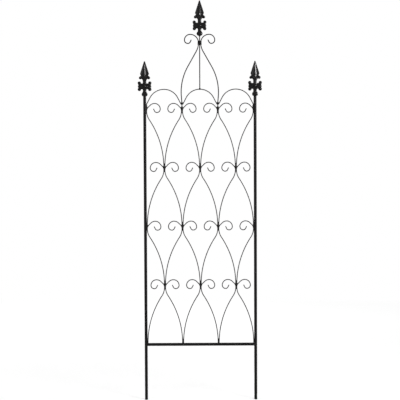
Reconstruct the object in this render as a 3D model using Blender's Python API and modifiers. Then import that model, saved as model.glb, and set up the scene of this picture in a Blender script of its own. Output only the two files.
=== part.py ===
"""Wrought garden trellis: two tube posts, a bottom rail, a lattice of bent wire scrolls,
arches, a crown bound by a collar, three cast spear finials and the welds between them.
Metres. X runs across the panel, +Z is up, and the panel lies in the plane Y = 0.
The origin is on the ground, half way between the posts."""

import math

import bmesh
import bpy
from mathutils import Vector

# Frame. The legs below the rail go into the soil.
POST_SPACING = 0.5025
TUBE_DIAMETER = 0.0127
TUBE_WALL = 0.0012
RAIL_HEIGHT = 0.255
POST_RISE = 0.0661
FIT = 0.0003

# Foot plugs
PLUG_FLANGE = 0.0018
PLUG_STEM = 0.014
PLUG_EDGE = 0.0006

# Lattice. An odd number of bays, as the crown stands over the middle one.
WIRE_DIAMETER = 0.0032
PAIR_GAP = 0.0016
BAYS = 3
ROWS = 4
ROW_PITCH = 0.2685
NECK_BEND = 0.0715
LEG_STAND = 0.0015

# Scroll heads, from the stem round to the eye
ROOT_BEND = 0.025
ROOT_TURN = 45
ROOT_RUN = 0.012
SHOULDER_BEND = 0.029
CURL_BEND = 0.0256
INNER_BEND = 0.0154
EYE_BEND = 0.012
EYE_TURN = 65
EYE_RUN = 0.011

# Arches
ARCH_RISE = 0.068
ARCH_RUN = 0.0335
ARCH_LIFT = 0.0305
ARCH_GAP = 0.001

# Crown
CROWN_RISE = 0.2957
CROWN_GAP = 0.002
CROWN_ROOT_BEND = 0.038
OGEE_RUN = 0.078
OGEE_NECK_BEND = 0.079
LEAN = 5
LEAN_BEND = 0.150
LEAN_RUN = 0.020
BELLY_BEND = 0.243
COLLAR_LENGTH = 0.018
COLLAR_WALL = 0.0008
COLLAR_DEPTH = 0.0084
COLLAR_EDGE = 0.001
SEAT_RISE = 0.0317

# Finials: heights are above the seat on the tube, widths from the axis
SPEAR_TIP = 0.1605
SPEAR_POINT = 0.0007
SPEAR_SHOULDER = 0.1010
SPEAR_HALF_WIDTH = 0.0185
SPEAR_PINCH = 0.6
SPEAR_DEPTH_RATIO = 0.55
SKIRT_HEIGHT = 0.0822
SKIRT_DROP = 0.0072
BARB_REACH = 0.0218
BARB_RADIUS = 0.0046
UPPER_NECK_RADIUS = 0.0076
LOWER_NECK_RADIUS = 0.0072
CROSS_HEIGHT = 0.0450
CROSS_DEPTH_RATIO = 0.85
HORN_REACH = 0.0248
HORN_TOP = 0.0662
HORN_RADIUS = 0.0074
LOBE_REACH = 0.0234
LOBE_FOOT = 0.0242
LOBE_RADIUS = 0.0084
BOSS_RADIUS = 0.0050
BOSS_STAND = 0.0112
BULB_RADIUS = 0.0114
BULB_HEIGHT = 0.0098
BULB_FLUTES = 6
BULB_PINCH = 0.86
SEAT_RADIUS = 0.0060
SPIGOT_LENGTH = 0.022
SOCKET_CONE = 0.004
SOCKET_WALL = 0.001
SOCKET_DEPTH = 0.014

# Welds
BEAD_RADIUS = 0.0059
BEAD_RISE = 0.0180
FIRST_BEAD_RISE = 0.0085
BEAD_FOOT = 0.0100
BEAD_DEPTH_RATIO = 0.75
ARCH_BEAD_RADIUS = 0.0050
ARCH_BEAD_HALF_HEIGHT = 0.0065
ARCH_BEAD_LIFT = 0.0035
LANDING_BEAD_RADIUS = 0.0046
LANDING_BEAD_HEIGHT = 0.026
CORNER_BEAD_STAND = 0.0024
CORNER_BEAD_REACH = 0.0075
CORNER_BEAD_SIDES = 10
CORNER_BEAD_START = 11
ROD_BEAD_RADIUS = 0.0036
ROD_BEAD_HALF_HEIGHT = 0.0045

# Facets
CHORD_ERROR = 0.0007
TUBE_SIDES = 16
PIN_SIDES = 12
CAST_SIDES = 8
BEAD_SIDES = 6
MERGE = 0.00001

# Sizes that follow
WIRE_RADIUS = WIRE_DIAMETER / 2
TUBE_RADIUS = TUBE_DIAMETER / 2
TUBE_BORE = TUBE_RADIUS - TUBE_WALL
FACE = POST_SPACING / 2 - TUBE_RADIUS
LAST_LINE = 2 * BAYS
HALF_BAY = 2 * FACE / LAST_LINE
PAIR_OFFSET = WIRE_RADIUS + PAIR_GAP / 2
TIP_LIFT = math.sqrt((2 * ROOT_BEND + FIT) * (WIRE_DIAMETER + FIT))
LEG_DROP = ROW_PITCH - TIP_LIFT
RAIL_TOP = RAIL_HEIGHT + TUBE_RADIUS
LAST_ROW_HEIGHT = RAIL_TOP + LEG_STAND + LEG_DROP
FIRST_ROW_HEIGHT = LAST_ROW_HEIGHT + (ROWS - 1) * ROW_PITCH
POST_TOP = FIRST_ROW_HEIGHT + POST_RISE
ARCH_FOOT = FIRST_ROW_HEIGHT + ARCH_LIFT
ARCH_OFFSET = WIRE_DIAMETER + ARCH_GAP
CROWN_FOOT = FIRST_ROW_HEIGHT + TIP_LIFT
CROWN_OFFSET = WIRE_DIAMETER + CROWN_GAP
CROWN_LINES = (BAYS - 1, BAYS + 1)
COLLAR_HEIGHT = CROWN_FOOT + CROWN_RISE
CENTRE_SEAT = COLLAR_HEIGHT + SEAT_RISE

# Base colour, roughness and metallic value
FINISHES = {
    "tube": ((0.012, 0.0115, 0.012), 0.38, 0.2),
    "wire": ((0.014, 0.014, 0.014), 0.42, 0.2),
    "weld": ((0.010, 0.010, 0.010), 0.50, 0.2),
    "casting": ((0.011, 0.011, 0.012), 0.36, 0.3),
    "plug": ((0.010, 0.010, 0.010), 0.60, 0.0),
}


def clear_scene():
    for old in list(bpy.data.objects):
        bpy.data.objects.remove(old, do_unlink=True)


def collection(name):
    group = bpy.data.collections.new(name)
    bpy.context.scene.collection.children.link(group)
    return group


def coat(name, finish):
    colour, roughness, metallic = FINISHES[finish]
    material = bpy.data.materials.new(name + "_coat")
    material.use_nodes = True
    shader = material.node_tree.nodes["Principled BSDF"]
    shader.inputs["Base Color"].default_value = (*colour, 1)
    shader.inputs["Roughness"].default_value = roughness
    shader.inputs["Metallic"].default_value = metallic
    return material


def place(name, data, finish=None, at=(0, 0, 0)):
    """A named object: a part with its finish, or a cutter where finish is None."""
    thing = bpy.data.objects.new(name, data)
    thing.location = at
    if finish is None:
        cutters.objects.link(thing)
        thing.hide_render = True
        thing.display_type = "WIRE"
    else:
        parts.objects.link(thing)
        data.materials.append(coat(name, finish))
    return thing


def boolean(thing, operation, others):
    for other in others:
        step = thing.modifiers.new(other.name, "BOOLEAN")
        step.operation = operation
        step.solver = "EXACT"
        step.object = other


def cut(thing, *others):
    boolean(thing, "DIFFERENCE", others)


def join(thing, *others):
    boolean(thing, "UNION", others)


def clean_mesh(name, body):
    """Weld a bmesh, face it outwards and store it."""
    bmesh.ops.remove_doubles(body, verts=body.verts, dist=MERGE)
    bmesh.ops.recalc_face_normals(body, faces=body.faces)
    mesh = bpy.data.meshes.new(name)
    body.to_mesh(mesh)
    body.free()
    return mesh


def as_mesh(thing):
    """Turn a curve, or an object with modifiers, into a plain closed mesh object."""
    bpy.context.view_layer.update()
    graph = bpy.context.evaluated_depsgraph_get()
    body = bmesh.new()
    body.from_mesh(bpy.data.meshes.new_from_object(thing.evaluated_get(graph)))
    name = thing.name
    where = thing.matrix_world.copy()
    bpy.data.objects.remove(thing, do_unlink=True)
    solid = place(name, clean_mesh(name, body))
    solid.matrix_world = where
    return solid


def trace(start, heading, moves):
    """Points of a bent wire in the panel's plane. A move is (length, 0) for a straight
    run or (radius, turn in degrees) for a bend, to the left where the turn is positive."""
    points = [Vector(start)]
    angle = math.radians(heading)
    for size, turn in moves:
        if not turn:
            points.append(points[-1] + size * Vector((math.cos(angle), math.sin(angle))))
            continue
        side = math.copysign(1, turn)
        facet = 2 * math.acos(1 - CHORD_ERROR / size)
        steps = math.ceil(math.radians(abs(turn)) / facet)
        centre = points[-1] + side * size * Vector((-math.sin(angle), math.cos(angle)))
        for _ in range(steps):
            angle += math.radians(turn) / steps
            points.append(centre + side * size * Vector((math.sin(angle), -math.cos(angle))))
    return points


def fair(across, along, run):
    """The radius and turn of a bend that, with a straight run after it, goes so far along
    its first direction and across it. Two such bends back to back make an ogee."""
    turn = 2 * math.atan(across / (along + run))
    return (along - run * math.cos(turn)) / math.sin(turn), math.degrees(turn)


def flipped(points, side):
    return [Vector((side * point.x, point.y)) for point in points]


def longer(points, at_start, at_end):
    """The same path with its ends drawn out."""
    first = points[0] + at_start * (points[0] - points[1]).normalized()
    last = points[-1] + at_end * (points[-1] - points[-2]).normalized()
    return [first, *points[1:-1], last]


def round_bar(name, points, radius, shares=None):
    """A round bar of six sides along points of the panel's plane, with filled ends."""
    curve = bpy.data.curves.new(name, "CURVE")
    curve.dimensions = "3D"
    curve.bevel_depth = radius
    curve.bevel_resolution = 1
    curve.use_fill_caps = True
    spline = curve.splines.new("POLY")
    spline.points.add(len(points) - 1)
    for knot, point, share in zip(spline.points, points, shares or [1] * len(points)):
        knot.co = (point.x, 0, point.y, 1)
        knot.radius = share
    spline.use_smooth = True
    return curve


def wire(name, points, at, room_ends=(FIT, FIT)):
    """A bent wire, and the cutter, longer by room_ends, that keeps the welds clear of it."""
    place(name, round_bar(name, points, WIRE_RADIUS), "wire", at)
    around = round_bar(name + "_room", longer(points, *room_ends), WIRE_RADIUS + FIT)
    rooms[name] = as_mesh(place(name + "_room", around, None, at))


def turned(name, profile, sides=TUBE_SIDES, finish=None, at=(0, 0, 0), start=0):
    """A turned shape about Z. The profile gives (radius, height) down its outer side, and
    start is the angle in degrees at which its first facet begins."""
    mesh = bpy.data.meshes.new(name)
    edges = [(i, i + 1) for i in range(len(profile) - 1)]
    if profile[0][0]:
        edges.append((len(profile) - 1, 0))
    east = math.cos(math.radians(start))
    north = math.sin(math.radians(start))
    mesh.from_pydata([(radius * east, radius * north, height) for radius, height in profile], edges, [])
    thing = place(name, mesh, finish, at)
    screw = thing.modifiers.new("turn", "SCREW")
    screw.steps = sides
    screw.render_steps = sides
    screw.use_merge_vertices = True
    screw.merge_threshold = MERGE
    screw.use_smooth_shade = True
    return thing


def rod(name, radius, bottom, top, sides=TUBE_SIDES, at=(0, 0, 0)):
    return turned(name, [(0, top), (radius, top), (radius, bottom), (0, bottom)], sides, None, at)


def tube_wall(bottom, top):
    return [(TUBE_RADIUS, top), (TUBE_RADIUS, bottom), (TUBE_BORE, bottom), (TUBE_BORE, top)]


def fluted(name, profile, sides, pinch, depth_ratio=1.0):
    """A turned solid with every second edge line drawn in to pinch of its radius."""
    body = bmesh.new()
    knots = [body.verts.new((radius, 0, height)) for radius, height in profile]
    line = [body.edges.new(pair) for pair in zip(knots, knots[1:])]
    bmesh.ops.spin(body, geom=knots + line, cent=(0, 0, 0), axis=(0, 0, 1),
                   angle=math.tau, steps=sides, use_merge=True)
    bmesh.ops.remove_doubles(body, verts=body.verts, dist=MERGE)
    for knot in body.verts:
        turn = round(math.atan2(knot.co.y, knot.co.x) / math.tau * sides)
        draw = pinch if turn % 2 else 1.0
        knot.co.x *= draw
        knot.co.y *= draw * depth_ratio
    return place(name, clean_mesh(name, body))


def make_posts():
    """Two tube posts with a plug in each foot."""
    stem = TUBE_BORE - FIT
    stem_top = PLUG_FLANGE + PLUG_STEM
    plug = [(0, stem_top), (stem - PLUG_EDGE, stem_top), (stem, stem_top - PLUG_EDGE),
            (stem, PLUG_FLANGE), (TUBE_RADIUS, PLUG_FLANGE), (TUBE_RADIUS, PLUG_EDGE),
            (TUBE_RADIUS - PLUG_EDGE, 0), (0, 0)]
    for side, name in ((-1, "left"), (1, "right")):
        at = (side * POST_SPACING / 2, 0, 0)
        turned(name + "_post", tube_wall(PLUG_FLANGE + FIT, POST_TOP), TUBE_SIDES, "tube", at)
        turned(name + "_foot_plug", plug, TUBE_SIDES, "plug", at)
        rooms[name + "_post"] = rod(name + "_post_room", TUBE_RADIUS + FIT, 0, POST_TOP, at=at)


def make_rail():
    """The bottom rail: a tube whose ends are notched to sit round the posts."""
    half = FACE + TUBE_RADIUS / 2
    at = (0, 0, RAIL_HEIGHT)
    rail = turned("bottom_rail", tube_wall(-half, half), TUBE_SIDES, "tube", at)
    room = rod("bottom_rail_room", TUBE_RADIUS + FIT, -half, half, at=at)
    for thing in (rail, room):
        thing.rotation_euler = (0, math.radians(90), 0)
    rooms["bottom_rail"] = room
    cut(rail, rooms["left_post"], rooms["right_post"])


def curl_moves():
    """The bends of a curl, from its highest point round to its eye."""
    return [(CURL_BEND, -90), (INNER_BEND, -90), (EYE_BEND, -EYE_TURN), (EYE_RUN, 0)]


def scroll_points():
    """A lattice scroll about its node: up the ogee leg, past the stem and round the curl."""
    radii, turn = fair(HALF_BAY - 2 * PAIR_OFFSET, LEG_DROP, 0)
    moves = [(radii - NECK_BEND, turn), (NECK_BEND, -turn), (ROOT_BEND, -ROOT_TURN),
             (ROOT_RUN, 0), (SHOULDER_BEND, ROOT_TURN - 90), *curl_moves()]
    return trace((HALF_BAY - PAIR_OFFSET, -LEG_DROP), 90, moves)


def line_x(line):
    return -FACE + line * HALF_BAY


def row_height(row):
    return FIRST_ROW_HEIGHT - (row - 1) * ROW_PITCH


def row_lines(row):
    """The half-bay lines that carry a row's nodes: odd rows reach from post to post."""
    return range((row + 1) % 2, LAST_LINE + 1, 2)


def make_lattice():
    """Rows of scrolls: each node has one to each neighbouring node of the row below."""
    points = scroll_points()
    for row in range(1, ROWS + 1):
        hands = [(line, side) for line in row_lines(row) for side in (-1, 1)
                 if 0 <= line + side <= LAST_LINE]
        for count, (line, side) in enumerate(hands, 1):
            name = f"scroll_r{row}_{count}"
            wire(name, flipped(points, side), (line_x(line), 0, row_height(row)))
            joined.setdefault((row, line), []).append(name)
            joined.setdefault((row + 1, line + side), []).append(name)


def make_arches():
    """An arch over each bay. The outer ones run on a little to meet the posts."""
    half = HALF_BAY - ARCH_OFFSET
    radius, turn = fair(ARCH_RISE, half, ARCH_RUN)
    reach = (ARCH_OFFSET - WIRE_RADIUS - FIT) / math.cos(math.radians(turn))
    for bay in range(BAYS):
        name = f"arch_{bay + 1}"
        line = 2 * bay + 1
        left = reach if bay == 0 else 0
        right = reach if bay == BAYS - 1 else 0
        heading = Vector((math.cos(math.radians(turn)), math.sin(math.radians(turn))))
        start = Vector((-half, 0)) - left * heading
        moves = [(left + ARCH_RUN, 0), (radius, -2 * turn), (ARCH_RUN + right, 0)]
        room_ends = [WIRE_DIAMETER if extra else FIT for extra in (left, right)]
        wire(name, trace(start, turn, moves), (line_x(line), 0, ARCH_FOOT), room_ends)
        for foot in (line - 1, line + 1):
            arch_feet.setdefault(foot, []).append(name)


def crown_points():
    """A crown scroll from its foot: upright past the arches, leaning a little out, then the
    ogee in to the collar and the curl above it."""
    lean = math.radians(LEAN)
    foot = ARCH_LIFT - TIP_LIFT
    bends = LEAN_BEND + BELLY_BEND
    out = bends * (1 - math.cos(lean)) + LEAN_RUN * math.sin(lean)
    up = foot + bends * math.sin(lean) + LEAN_RUN * math.cos(lean)
    radii, turn = fair(HALF_BAY + out - CROWN_OFFSET, CROWN_RISE - up, OGEE_RUN)
    moves = [(foot, 0), (LEAN_BEND, -LEAN), (LEAN_RUN, 0), (BELLY_BEND, LEAN),
             (radii - OGEE_NECK_BEND, turn), (OGEE_RUN, 0), (OGEE_NECK_BEND, -turn),
             (CROWN_ROOT_BEND, -90), *curl_moves()]
    return trace((HALF_BAY, 0), 90, moves)


def make_crown():
    """The two long scrolls, the rod between them and the collar that binds all three."""
    points = crown_points()
    for side, line, name in zip((-1, 1), CROWN_LINES, ("left", "right")):
        wire(name + "_crown_scroll", flipped(points, side), (0, 0, CROWN_FOOT))
        joined.setdefault((1, line), []).append(name + "_crown_scroll")
    bottom = ARCH_FOOT + ARCH_RISE + WIRE_RADIUS + FIT
    top = CENTRE_SEAT + SOCKET_DEPTH - FIT
    wire("centre_rod", [Vector((0, 0)), Vector((0, top - bottom))], (0, 0, bottom))


def make_collar():
    """A band formed round the three wires, wide enough for the scrolls' first swing out."""
    swing = CROWN_ROOT_BEND - math.sqrt(CROWN_ROOT_BEND ** 2 - (COLLAR_LENGTH / 2) ** 2)
    width = 2 * (CROWN_OFFSET + WIRE_RADIUS + swing + COLLAR_WALL)
    body = bmesh.new()
    bmesh.ops.create_cube(body, size=1)
    bmesh.ops.scale(body, vec=(width, COLLAR_DEPTH, COLLAR_LENGTH), verts=body.verts)
    collar = place("crown_collar", clean_mesh("crown_collar", body), "casting", (0, 0, COLLAR_HEIGHT))
    edge = collar.modifiers.new("edge", "BEVEL")
    edge.width = COLLAR_EDGE
    edge.segments = 2
    cut(collar, *(rooms[name] for name in ("left_crown_scroll", "right_crown_scroll", "centre_rod")))


def cast_arm(name, axis, shares, radius, depth_ratio):
    """A tapering, rounded arm of the casting along an axis in the panel's plane."""
    thing = place(name, round_bar(name, [Vector(point) for point in axis], radius, shares))
    thing.scale = (1, depth_ratio, 1)
    return as_mesh(thing)


def horn(side):
    """An upper horn of the cross: out along the arm, then up to a rounded end."""
    reach = side * HORN_REACH
    rise = HORN_TOP - CROSS_HEIGHT
    axis = [(0.2 * reach, CROSS_HEIGHT + 0.02 * rise), (0.62 * reach, CROSS_HEIGHT + 0.08 * rise),
            (0.92 * reach, CROSS_HEIGHT + 0.27 * rise), (reach, CROSS_HEIGHT + 0.5 * rise),
            (reach, CROSS_HEIGHT + 0.77 * rise), (0.98 * reach, HORN_TOP)]
    return cast_arm("horn", axis, (1.2, 1.1, 1.04, 1.0, 1.02, 0.62), HORN_RADIUS, CROSS_DEPTH_RATIO)


def lobe(side):
    """A lower lobe of the cross, shorter and fuller than the horn above it."""
    reach = side * LOBE_REACH
    drop = CROSS_HEIGHT - LOBE_FOOT
    axis = [(0.2 * reach, CROSS_HEIGHT - 0.02 * drop), (0.66 * reach, CROSS_HEIGHT - 0.12 * drop),
            (0.95 * reach, CROSS_HEIGHT - 0.32 * drop), (reach, CROSS_HEIGHT - 0.56 * drop),
            (0.98 * reach, CROSS_HEIGHT - 0.8 * drop), (0.96 * reach, LOBE_FOOT)]
    return cast_arm("lobe", axis, (1.05, 1.0, 1.0, 1.03, 0.96, 0.58), LOBE_RADIUS, CROSS_DEPTH_RATIO)


def barb(side):
    """A barb at the foot of the spear head, turned out and down."""
    reach = side * BARB_REACH
    axis = [(0.45 * reach, SKIRT_HEIGHT + 0.8 * SKIRT_DROP), (0.8 * reach, SKIRT_HEIGHT + 0.35 * SKIRT_DROP),
            (reach, SKIRT_HEIGHT - 0.15 * SKIRT_DROP), (1.04 * reach, SKIRT_HEIGHT - 0.55 * SKIRT_DROP)]
    return cast_arm("barb", axis, (1.4, 1.15, 0.85, 0.4), BARB_RADIUS, 1)


def spear_head():
    """The four-ridged head with hollow faces, down to the skirt above the neck."""
    waist = (SPEAR_SHOULDER + SKIRT_HEIGHT) / 2
    foot = SKIRT_HEIGHT - SKIRT_DROP
    profile = [(0, SPEAR_TIP), (SPEAR_POINT, SPEAR_TIP - SPEAR_POINT), (SPEAR_HALF_WIDTH, SPEAR_SHOULDER),
               (1.02 * SPEAR_HALF_WIDTH, waist), (1.1 * SPEAR_HALF_WIDTH, SKIRT_HEIGHT),
               (0.62 * SPEAR_HALF_WIDTH, foot), (0, foot)]
    return fluted("spear_head", profile, CAST_SIDES, SPEAR_PINCH, SPEAR_DEPTH_RATIO)


def stem():
    """The necks above and below the cross, and the swelling of the shaft through it."""
    above = HORN_TOP - CROSS_HEIGHT
    below = CROSS_HEIGHT - LOBE_FOOT
    middle = 1.35 * UPPER_NECK_RADIUS
    neck_top = 2 * BULB_HEIGHT
    profile = [(0, SKIRT_HEIGHT), (UPPER_NECK_RADIUS, SKIRT_HEIGHT),
               (UPPER_NECK_RADIUS, CROSS_HEIGHT + 0.85 * above), (middle, CROSS_HEIGHT + 0.4 * above),
               (middle, CROSS_HEIGHT - 0.4 * below), (LOWER_NECK_RADIUS, CROSS_HEIGHT - 0.95 * below),
               (LOWER_NECK_RADIUS, neck_top), (LOWER_NECK_RADIUS, BULB_HEIGHT), (0, BULB_HEIGHT)]
    return turned("spear_stem", profile, CAST_SIDES)


def bulb():
    """The fluted bulb that ends the casting at the top of its tube."""
    profile = [(0, 2 * BULB_HEIGHT), (0.62 * BULB_RADIUS, 2 * BULB_HEIGHT),
               (0.84 * BULB_RADIUS, 1.65 * BULB_HEIGHT), (BULB_RADIUS, 1.2 * BULB_HEIGHT),
               (BULB_RADIUS, 0.85 * BULB_HEIGHT), (0.8 * BULB_RADIUS, 0.3 * BULB_HEIGHT),
               (SEAT_RADIUS, 0), (0, 0)]
    return fluted("spear_bulb", profile, 2 * BULB_FLUTES, BULB_PINCH)


def boss():
    """The round boss that stands out at the middle of the cross, front and back."""
    turns = [math.pi * step / 5 for step in range(1, 5)]
    profile = [(0, BOSS_RADIUS), *((BOSS_RADIUS * math.sin(turn), BOSS_RADIUS * math.cos(turn))
                                   for turn in turns), (0, -BOSS_RADIUS)]
    thing = turned("spear_boss", profile, CAST_SIDES, at=(0, 0, CROSS_HEIGHT))
    thing.scale = (1, BOSS_STAND / BOSS_RADIUS, 1)
    return thing


def finial_body():
    """The casting that all three finials share, above its seat."""
    head = spear_head()
    arms = [shape(side) for shape in (horn, lobe, barb) for side in (-1, 1)]
    join(head, stem(), bulb(), boss(), *arms)
    return as_mesh(head)


def make_finials():
    """Side finials have a spigot in the post's bore, the middle one a socket for the rod."""
    body = finial_body()
    overlap = BULB_HEIGHT / 2
    root = 0.9 * SEAT_RADIUS
    spigot = rod("finial_spigot", TUBE_BORE - FIT, -SPIGOT_LENGTH, overlap, PIN_SIDES)
    cone = turned("finial_cone", [(0, overlap), (root, overlap), (root, 0),
                                  (WIRE_RADIUS + FIT + SOCKET_WALL, -SOCKET_CONE), (0, -SOCKET_CONE)],
                  PIN_SIDES)
    socket = rod("finial_socket", WIRE_RADIUS + FIT, -2 * SOCKET_CONE, SOCKET_DEPTH, PIN_SIDES)
    side_seat = POST_TOP + FIT
    for name, x, seat in (("left_finial", -POST_SPACING / 2, side_seat), ("centre_finial", 0, CENTRE_SEAT),
                          ("right_finial", POST_SPACING / 2, side_seat)):
        whole = place(name + "_whole", body.data.copy())
        join(whole, spigot if x else cone)
        if not x:
            cut(whole, socket)
        finial = place(name, as_mesh(whole).data.copy(), "casting", (x, 0, seat))
        finial.data.shade_smooth()
        finial.data.set_sharp_from_angle(angle=math.radians(40))


def bead(name, profile, at, wires, depth_ratio=BEAD_DEPTH_RATIO, sides=BEAD_SIDES, start=0):
    """A weld bead round the pieces that it joins, turned from a profile, flatter in Y."""
    thing = turned(name, profile, sides, "weld", at, start)
    thing.scale = (1, depth_ratio, 1)
    cut(thing, *(rooms[each] for each in wires))
    return thing


def oval(radius, half_height):
    """Half of an oval's outline, from its top to its bottom."""
    return [(0, half_height), (0.62 * radius, 0.8 * half_height), (radius, 0.25 * half_height),
            (radius, -0.25 * half_height), (0.62 * radius, -0.8 * half_height), (0, -half_height)]


def post_at(line):
    return {0: ["left_post"], LAST_LINE: ["right_post"]}.get(line, [])


def node_profile(rise, top_radius):
    """A node's bead about its stem: broad at the V of the scrolls, slim down the stem."""
    slim = PAIR_OFFSET + WIRE_RADIUS / 4
    return [(0, TIP_LIFT + rise), (top_radius or slim, TIP_LIFT + 0.7 * rise),
            (BEAD_RADIUS, TIP_LIFT + 0.15 * rise), (BEAD_RADIUS, 0.85 * TIP_LIFT),
            (1.1 * slim, 0.45 * TIP_LIFT), (slim, -0.6 * BEAD_FOOT), (0, -BEAD_FOOT)]


def make_node_beads():
    """The bead of each node. In the first row those at the posts take in the arches' ends,
    and the others stop short of the bead that joins the arches above them."""
    for row in range(1, ROWS + 1):
        for count, line in enumerate(row_lines(row), 1):
            wires = joined[row, line] + post_at(line)
            profile = node_profile(BEAD_RISE, 0)
            if row == 1:
                wires = wires + arch_feet[line]
                inner = not post_at(line)
                profile = node_profile(FIRST_BEAD_RISE if inner else BEAD_RISE, 0.85 * BEAD_RADIUS)
            bead(f"weld_r{row}_{count}", profile, (line_x(line), 0, row_height(row)), wires)


def make_arch_beads():
    """Where two arches and a crown scroll meet, a bead of its own above the node's."""
    profile = oval(ARCH_BEAD_RADIUS, ARCH_BEAD_HALF_HEIGHT)
    for line, name in zip(CROWN_LINES, ("left", "right")):
        at = (line_x(line), 0, ARCH_FOOT + ARCH_BEAD_LIFT)
        bead(name + "_arch_weld", profile, at, joined[1, line] + arch_feet[line])


def make_rail_beads():
    """Beads where the last row lands on the rail, and round the rail's ends at the posts."""
    foot = -LEG_STAND
    landing = [(0, LANDING_BEAD_HEIGHT), (PAIR_OFFSET, 0.6 * LANDING_BEAD_HEIGHT),
               (0.75 * LANDING_BEAD_RADIUS, 0.25 * LANDING_BEAD_HEIGHT), (LANDING_BEAD_RADIUS, 0),
               (LANDING_BEAD_RADIUS, foot), (0, foot)]
    last = ROWS + 1
    inner = [line for line in row_lines(last) if not post_at(line)]
    for count, line in enumerate(inner, 1):
        wires = joined[last, line] + ["bottom_rail"]
        bead(f"landing_weld_{count}", landing, (line_x(line), 0, RAIL_TOP), wires)
    ring = oval(TUBE_RADIUS + CORNER_BEAD_STAND, CORNER_BEAD_REACH)
    for line, side in ((0, "left"), (LAST_LINE, "right")):
        wires = joined.get((last, line), []) + post_at(line) + ["bottom_rail"]
        corner = bead(side + "_corner_weld", ring, (line_x(line), 0, RAIL_HEIGHT), wires, 1,
                      CORNER_BEAD_SIDES, CORNER_BEAD_START)
        corner.rotation_euler = (0, math.radians(90), 0)


def make_rod_bead():
    """The bead that stands the rod on the middle arch."""
    at = (0, 0, ARCH_FOOT + ARCH_RISE + WIRE_RADIUS)
    middle_arch = f"arch_{(BAYS + 1) // 2}"
    bead("rod_weld", oval(ROD_BEAD_RADIUS, ROD_BEAD_HALF_HEIGHT), at, [middle_arch, "centre_rod"], 1)


clear_scene()
parts = collection("garden_trellis")
cutters = collection("cutters")
rooms = {}
joined = {}
arch_feet = {}

make_posts()
make_rail()
make_lattice()
make_arches()
make_crown()
make_collar()
make_finials()
make_node_beads()
make_arch_beads()
make_rail_beads()
make_rod_bead()
bpy.context.view_layer.update()
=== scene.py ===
import math
import bpy
from mathutils import Matrix, Vector, noise


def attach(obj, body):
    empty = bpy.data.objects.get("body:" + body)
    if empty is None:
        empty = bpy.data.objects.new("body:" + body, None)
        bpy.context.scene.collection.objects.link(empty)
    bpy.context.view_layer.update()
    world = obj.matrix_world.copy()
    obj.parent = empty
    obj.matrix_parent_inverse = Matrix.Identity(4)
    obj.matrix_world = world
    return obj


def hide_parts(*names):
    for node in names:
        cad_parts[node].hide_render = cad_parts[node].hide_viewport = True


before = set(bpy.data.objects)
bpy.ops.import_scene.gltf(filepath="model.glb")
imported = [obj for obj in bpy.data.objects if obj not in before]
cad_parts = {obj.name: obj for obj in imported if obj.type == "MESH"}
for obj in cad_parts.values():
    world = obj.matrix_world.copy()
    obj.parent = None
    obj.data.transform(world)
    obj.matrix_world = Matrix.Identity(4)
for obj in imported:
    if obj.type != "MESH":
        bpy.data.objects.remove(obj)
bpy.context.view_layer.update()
print("frame loaded,", len(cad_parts), "nodes")

# the panel in metres, as the frame has it; the coats are the black on its wires and tubes
panel = {
    "postSpacing": 0.5025, "tubeRadius": 0.00635, "boreRadius": 0.00515, "railHeight": 0.255,
    "postRise": 0.0661, "clearance": 0.0003, "bays": 3, "rows": 4, "rowPitch": 0.2685,
    "wireRadius": 0.0016, "pairGap": 0.0016, "legStand": 0.0015,
    "latticeCoat": 0.00045, "crownCoat": 0.00075, "tubeCoat": 0.0005,
}
# a scroll's bends, from its neck to the eye of its curl
scroll = {
    "neckBend": 0.0715, "rootBend": 0.025, "rootTurn": 45, "rootRun": 0.012, "shoulderBend": 0.029,
    "curlBend": 0.0256, "innerBend": 0.0154, "eyeBend": 0.012, "eyeTurn": 65, "eyeRun": 0.011,
}
arch = {"rise": 0.068, "run": 0.0335, "lift": 0.0305, "gap": 0.001, "footRun": 0.007}
crown = {
    "rise": 0.2957, "gap": 0.002, "rootBend": 0.038, "ogeeRun": 0.078, "ogeeNeckBend": 0.079,
    "lean": 5, "leanBend": 0.150, "leanRun": 0.020, "bellyBend": 0.243, "seatRise": 0.0317,
    "socketDepth": 0.014,
}

wireR = panel["wireRadius"]
tubeR = panel["tubeRadius"]
boreR = panel["boreRadius"]
gapFit = panel["clearance"]
postX = panel["postSpacing"] / 2
postFace = postX - tubeR  # the side of a post that the scrolls touch
lastLine = 2 * panel["bays"]  # nodes stand on lines 0 to this, from post to post
halfBay = 2 * postFace / lastLine
pairOffset = wireR + panel["pairGap"] / 2
# a wire's foot stands this far above a node, in the crotch of its scrolls
tipLift = math.sqrt((2 * scroll["rootBend"] + gapFit) * (2 * wireR + gapFit))
legDrop = panel["rowPitch"] - tipLift
railTop = panel["railHeight"] + tubeR
# rows count from the top down
firstRow = railTop + panel["legStand"] + legDrop + (panel["rows"] - 1) * panel["rowPitch"]
postTop = firstRow + panel["postRise"]
archFoot = firstRow + arch["lift"]
archOffset = 2 * wireR + arch["gap"]
crownFoot = firstRow + tipLift
crownOffset = 2 * wireR + crown["gap"]
collarHeight = crownFoot + crown["rise"]
centreSeat = collarHeight + crown["seatRise"]


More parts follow.
